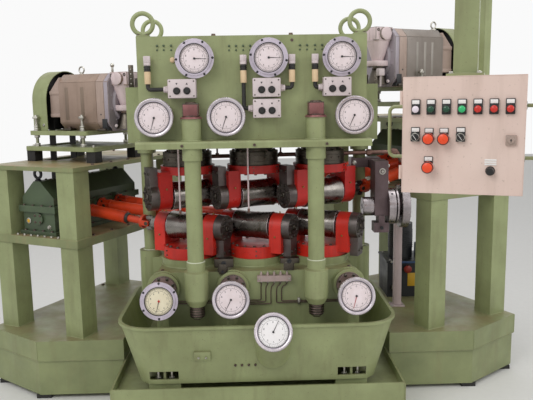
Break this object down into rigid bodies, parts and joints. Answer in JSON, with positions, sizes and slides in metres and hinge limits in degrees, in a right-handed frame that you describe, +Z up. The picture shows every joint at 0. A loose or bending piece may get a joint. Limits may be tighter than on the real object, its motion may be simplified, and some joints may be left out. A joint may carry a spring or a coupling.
{
  "type": "pipe straightening machine",
  "caption": "Cross-roll pipe straightener: six skewed rolls in red yokes between bed and crosshead, cardan shafts to two drive stands, dials, trays, hanging control cabinet.",
  "frame": {"origin": "on the floor under the middle rolls, below the pass line", "axes": "+X along the pass line towards the outlet guide, +Y away from the operator, +Z up"},
  "size_m": [3.082, 2.5738, 2.4],
  "materials": {
    "sage_enamel": "sage-green machine enamel, brushed on over filler, oily and slightly chipped",
    "dark_green_enamel": "dark bluish-green gearbox enamel",
    "red_enamel": "signal-red enamel on cast iron",
    "orange_enamel": "orange-red enamel",
    "ground_steel": "ground steel with an oil film",
    "roll_steel": "hardened tool steel, polished by the work",
    "black_steel": "blackened oily steel",
    "brown_steel": "browned steel nuts",
    "satin_aluminium": "turned satin aluminium",
    "motor_grey": "grey-tan motor enamel",
    "cabinet_enamel": "beige fine-textured sheet enamel",
    "box_plastic": "light grey moulded plastic",
    "hose_black": "black rubber",
    "lamp_plastic": "coloured glossy plastic"
  },
  "bodies": {
    "machine": {"bearing_caps": "black_steel", "bed": "sage_enamel", "belt_drives": "hose_black", "belt_guards": "sage_enamel", "button_boxes": "box_plastic", "cabinet_arm": "sage_enamel", "cabinet_box": "cabinet_enamel", "cabinet_handles": "sage_enamel", "column_nuts": "brown_steel", "columns": "sage_enamel", "conduits": "hose_black", "crosshead": "sage_enamel", "dial_cases": "satin_aluminium", "dial_mounts": "sage_enamel", "drip_tray": "sage_enamel", "exit_guide": "ground_steel", "gearboxes": "dark_green_enamel", "header_pipe": "ground_steel", "lift_screws": "black_steel", "lifting_eyes": "sage_enamel", "lower_yokes": "red_enamel", "manifold": "ground_steel", "motor_slides": "sage_enamel", "motors": "motor_grey", "oil_tray": "sage_enamel", "plinth_feet": "sage_enamel", "plinths": "sage_enamel", "power_pack": "black_steel", "slide_rubbers": "hose_black", "stand_legs": "sage_enamel", "stand_tables": "sage_enamel", "upper_yokes": "red_enamel", "worm_caps": "black_steel"},
    "roll_lower_left": {"roll_lower_left": "roll_steel"},
    "roll_lower_middle": {"roll_lower_middle": "roll_steel"},
    "roll_lower_right": {"roll_lower_right": "roll_steel"},
    "cardan_lower_left": {"cardan_lower_left": "orange_enamel"},
    "cardan_lower_middle": {"cardan_lower_middle": "orange_enamel"},
    "cardan_lower_right": {"cardan_lower_right": "orange_enamel"},
    "roll_upper_left": {"roll_upper_left": "roll_steel"},
    "roll_upper_middle": {"roll_upper_middle": "roll_steel"},
    "roll_upper_right": {"roll_upper_right": "roll_steel"},
    "cardan_upper_left": {"cardan_upper_left": "orange_enamel"},
    "cardan_upper_middle": {"cardan_upper_middle": "orange_enamel"},
    "cardan_upper_right": {"cardan_upper_right": "orange_enamel"},
    "door": {"cabinet_door": "cabinet_enamel", "door_devices": "lamp_plastic"}
  },
  "joints": [
    {"name": "roll_lower_left_spin", "type": "hinge", "parent": "machine", "child": "roll_lower_left", "pos_m": [-0.35, 0, 0.962], "axis": [0.891, -0.454, 0], "continuous": true},
    {"name": "roll_lower_middle_spin", "type": "hinge", "parent": "machine", "child": "roll_lower_middle", "pos_m": [0, 0, 0.962], "axis": [0.891, -0.454, 0], "continuous": true},
    {"name": "roll_lower_right_spin", "type": "hinge", "parent": "machine", "child": "roll_lower_right", "pos_m": [0.35, 0, 0.962], "axis": [0.891, -0.454, 0], "continuous": true},
    {"name": "cardan_lower_left_spin", "type": "hinge", "parent": "machine", "child": "cardan_lower_left", "pos_m": [-0.58166, 0.11804, 0.962], "axis": [0.8854, -0.4511, -0.112], "continuous": true},
    {"name": "cardan_lower_middle_spin", "type": "hinge", "parent": "machine", "child": "cardan_lower_middle", "pos_m": [-0.23166, 0.11804, 0.962], "axis": [0.8889, -0.4529, -0.0681], "continuous": true},
    {"name": "cardan_lower_right_spin", "type": "hinge", "parent": "machine", "child": "cardan_lower_right", "pos_m": [0.11834, 0.11804, 0.962], "axis": [0.8899, -0.4534, -0.0489], "continuous": true},
    {"name": "roll_upper_left_spin", "type": "hinge", "parent": "machine", "child": "roll_upper_left", "pos_m": [-0.35, 0, 1.134], "axis": [-0.891, -0.454, 0], "continuous": true},
    {"name": "roll_upper_middle_spin", "type": "hinge", "parent": "machine", "child": "roll_upper_middle", "pos_m": [0, 0, 1.134], "axis": [-0.891, -0.454, 0], "continuous": true},
    {"name": "roll_upper_right_spin", "type": "hinge", "parent": "machine", "child": "roll_upper_right", "pos_m": [0.35, 0, 1.134], "axis": [-0.891, -0.454, 0], "continuous": true},
    {"name": "cardan_upper_left_spin", "type": "hinge", "parent": "machine", "child": "cardan_upper_left", "pos_m": [-0.11834, 0.11804, 1.134], "axis": [-0.8868, -0.4518, -0.0975], "continuous": true},
    {"name": "cardan_upper_middle_spin", "type": "hinge", "parent": "machine", "child": "cardan_upper_middle", "pos_m": [0.23166, 0.11804, 1.134], "axis": [-0.8828, -0.4498, -0.1353], "continuous": true},
    {"name": "cardan_upper_right_spin", "type": "hinge", "parent": "machine", "child": "cardan_upper_right", "pos_m": [0.58166, 0.11804, 1.134], "axis": [-0.8692, -0.4429, -0.2199], "continuous": true},
    {"name": "door_hinge", "type": "hinge", "parent": "machine", "child": "door", "pos_m": [0.50901, -1.15648, 1.497], "axis": [0, 0, -1], "range_deg": [0, 120]}
  ],
  "couplings": [
    {"joint": "roll_lower_left_spin", "follows": "roll_lower_middle_spin", "ratio": 1},
    {"joint": "roll_lower_right_spin", "follows": "roll_lower_middle_spin", "ratio": 1},
    {"joint": "cardan_lower_left_spin", "follows": "roll_lower_middle_spin", "ratio": 1},
    {"joint": "cardan_lower_middle_spin", "follows": "roll_lower_middle_spin", "ratio": 1},
    {"joint": "cardan_lower_right_spin", "follows": "roll_lower_middle_spin", "ratio": 1},
    {"joint": "roll_upper_left_spin", "follows": "roll_upper_middle_spin", "ratio": 1},
    {"joint": "roll_upper_right_spin", "follows": "roll_upper_middle_spin", "ratio": 1},
    {"joint": "cardan_upper_left_spin", "follows": "roll_upper_middle_spin", "ratio": 1},
    {"joint": "cardan_upper_middle_spin", "follows": "roll_upper_middle_spin", "ratio": 1},
    {"joint": "cardan_upper_right_spin", "follows": "roll_upper_middle_spin", "ratio": 1}
  ]
}
